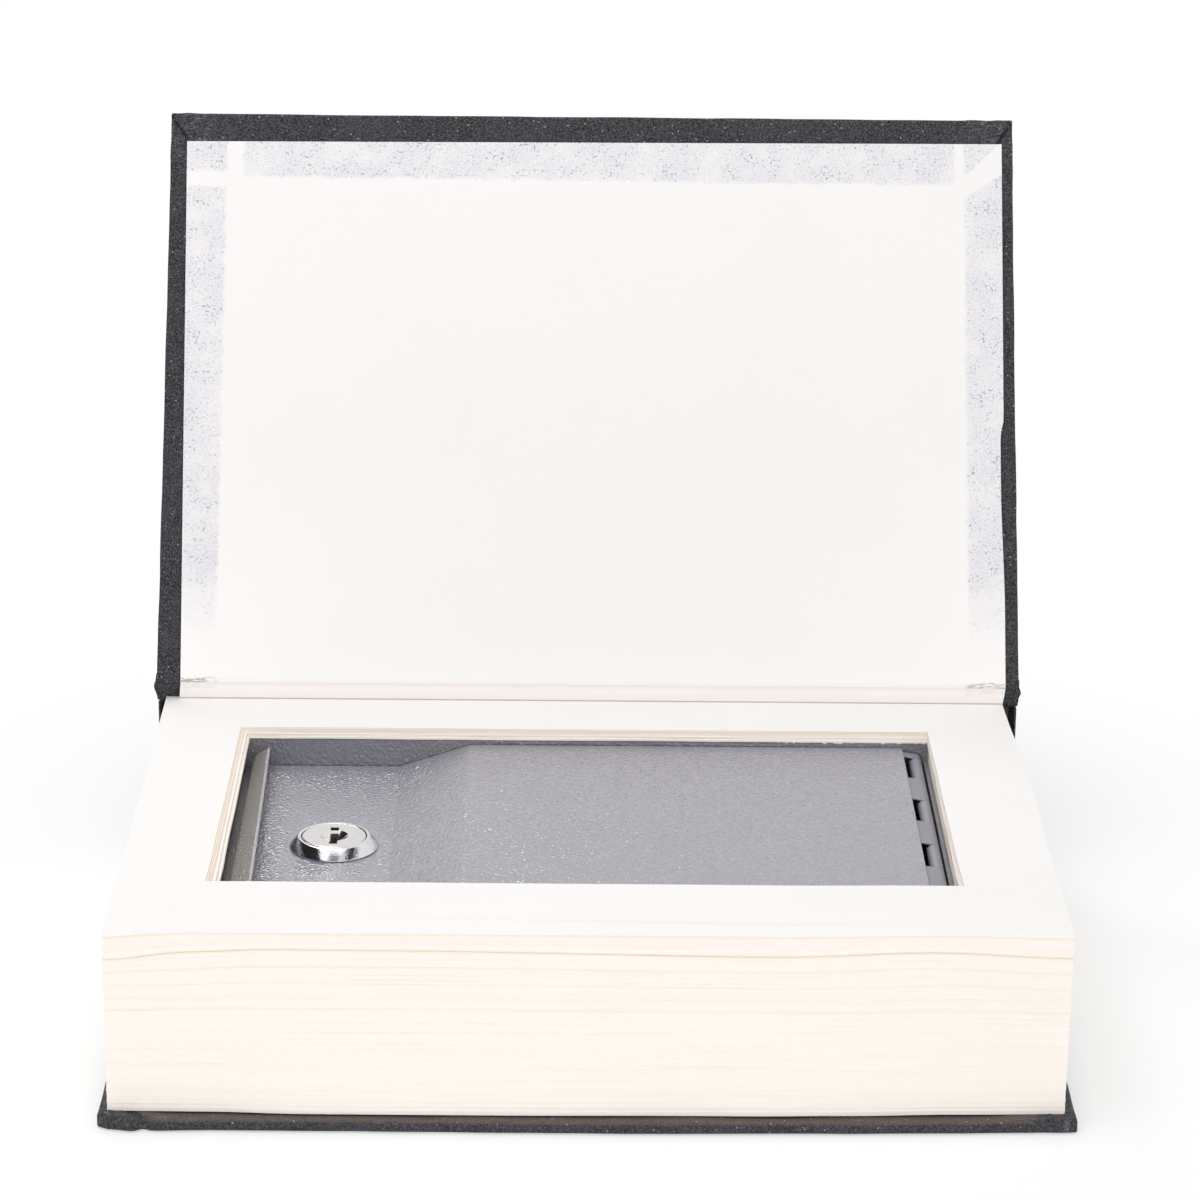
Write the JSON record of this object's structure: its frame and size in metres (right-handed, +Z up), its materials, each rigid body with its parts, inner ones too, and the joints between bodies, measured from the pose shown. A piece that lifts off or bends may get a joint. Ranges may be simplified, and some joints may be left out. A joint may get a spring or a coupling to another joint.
{
  "type": "book diversion safe",
  "caption": "Hardcover book with a window cut through its pages that hides a hinged steel lock box with a sunken cam lock.",
  "frame": {"origin": "centre of the closed book's footprint, on the underside of the back cover", "axes": "+X along the height of the book from tail to head, +Y from the fore edge to the spine, +Z up through the pages of the lying book"},
  "size_m": [0.24, 0.2528, 0.196],
  "materials": {
    "bookcloth": "black pressed-grain covering with pale specks",
    "greyboard": "raw grey board",
    "endpaper": "uncoated white paper",
    "page_paper": "cream book paper, cut edges",
    "lining_paper": "glued lining paper",
    "hammer_paint": "grey orange-peel textured paint, semi-gloss",
    "hinge_paint": "grey paint, thinner on the knuckles",
    "pin_steel": "bare drawn wire",
    "chrome_plate": "bright chrome plate",
    "plug_chrome": "bright face with fine turning marks",
    "zinc_plate": "zinc-plated steel",
    "wafer_brass": "stamped brass"
  },
  "bodies": {
    "root": {"back_cover_cloth": "bookcloth", "back_board": "greyboard", "back_pastedown": "endpaper", "back_joint_cloth": "bookcloth", "spine_board": "greyboard", "spine_cloth": "bookcloth", "spine_lining": "lining_paper", "front_joint_cloth": "bookcloth", "page_section_1": "page_paper", "page_section_2": "page_paper", "page_section_3": "page_paper", "page_section_4": "page_paper", "page_section_5": "page_paper", "page_section_6": "page_paper", "page_section_7": "page_paper", "page_section_8": "page_paper", "front_flyleaf": "endpaper", "box_body": "hammer_paint", "strike_bracket": "zinc_plate", "hinge_body_leaf": "hinge_paint", "hinge_pin": "pin_steel"},
    "front_cover": {"front_cover_cloth": "bookcloth", "front_board": "greyboard", "front_pastedown": "endpaper"},
    "box_lid": {"box_lid": "hammer_paint", "hinge_lid_leaf": "hinge_paint", "lock_housing": "chrome_plate", "lock_washer": "zinc_plate", "lock_nut": "zinc_plate"},
    "lock_plug": {"lock_plug": "plug_chrome", "lock_wafer_1": "wafer_brass", "lock_wafer_2": "wafer_brass", "lock_wafer_3": "wafer_brass", "lock_wafer_4": "wafer_brass", "lock_wafer_5": "wafer_brass", "lock_cam": "zinc_plate", "cam_washer": "zinc_plate", "cam_screw": "zinc_plate"}
  },
  "joints": [
    {"name": "cover_hinge", "type": "hinge", "parent": "root", "child": "front_cover", "pos_m": [0, 0.0802, 0.0508], "axis": [-1, 0, 0], "range_deg": [-35, 60]},
    {"name": "lid_hinge", "type": "hinge", "parent": "root", "child": "box_lid", "pos_m": [0.0896, 0.005, 0.0418], "axis": [0, 1, 0], "range_deg": [0, 90]},
    {"name": "lock_turn", "type": "hinge", "parent": "box_lid", "child": "lock_plug", "pos_m": [-0.0665, 0.0005, 0.0386], "axis": [0, 0, -1], "range_deg": [0, 90]}
  ]
}
